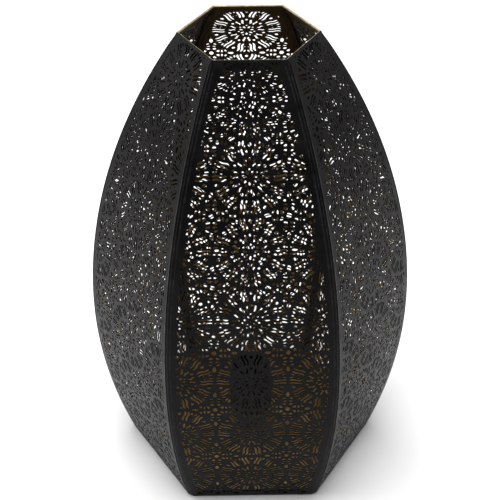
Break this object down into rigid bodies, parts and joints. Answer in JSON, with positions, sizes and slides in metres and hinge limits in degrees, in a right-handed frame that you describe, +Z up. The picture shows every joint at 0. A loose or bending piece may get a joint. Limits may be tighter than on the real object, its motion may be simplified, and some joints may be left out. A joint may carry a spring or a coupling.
{
  "type": "lantern table lamp",
  "caption": "Six-sided bulging lantern shade of curved sheet panels, open at the top, on a base pan that carries a screw-socket lampholder.",
  "frame": {"origin": "on the table under the middle of the lamp, at the height where the rubber feet rest", "axes": "+Z up along the lamp's axis, -Y towards the front panel, +X towards the corner strip on the right"},
  "size_m": [0.309, 0.2698, 0.456],
  "materials": {
    "black_powder_coat": "satin black powder coat on sheet steel",
    "gold_paint": "semi-gloss gold paint on sheet steel",
    "black_thermoset": "black moulded thermoset",
    "rubber": "matt black rubber",
    "zinc_plate": "zinc-plated steel",
    "brass": "plain brass",
    "ceramic": "white glazed ceramic"
  },
  "bodies": {
    "lamp": {"panel_front": "black_powder_coat", "panel_front_right": "black_powder_coat", "panel_back_right": "black_powder_coat", "panel_back": "black_powder_coat", "panel_back_left": "black_powder_coat", "panel_front_left": "black_powder_coat", "corner_strip_right": "black_powder_coat", "corner_strip_back_right": "black_powder_coat", "corner_strip_back_left": "black_powder_coat", "corner_strip_left": "black_powder_coat", "corner_strip_front_left": "black_powder_coat", "corner_strip_front_right": "black_powder_coat", "base_pan": "gold_paint", "cable_edging": "rubber", "foot_right": "rubber", "foot_back_right": "rubber", "foot_back_left": "rubber", "foot_left": "rubber", "foot_front_left": "rubber", "foot_front_right": "rubber", "threaded_tube": "zinc_plate", "base_nut_lower": "zinc_plate", "base_nut_upper": "zinc_plate", "holder_nut": "zinc_plate", "base_washer_lower": "zinc_plate", "base_washer_upper": "zinc_plate", "lampholder_cap": "black_thermoset", "lampholder_shell": "black_thermoset", "lampholder_insert": "ceramic", "screw_sleeve": "brass", "terminal_live": "brass", "terminal_neutral": "brass", "terminal_screw_live": "zinc_plate", "terminal_screw_neutral": "zinc_plate"},
    "contact": {"contact_leaf": "brass"}
  },
  "joints": [
    {"name": "contact_spring", "type": "hinge", "parent": "lamp", "child": "contact", "pos_m": [-0.0085, 0, 0.0463], "axis": [0, 1, 0], "range_deg": [0, 10], "stiffness_Nm_per_rad": 0.05}
  ]
}
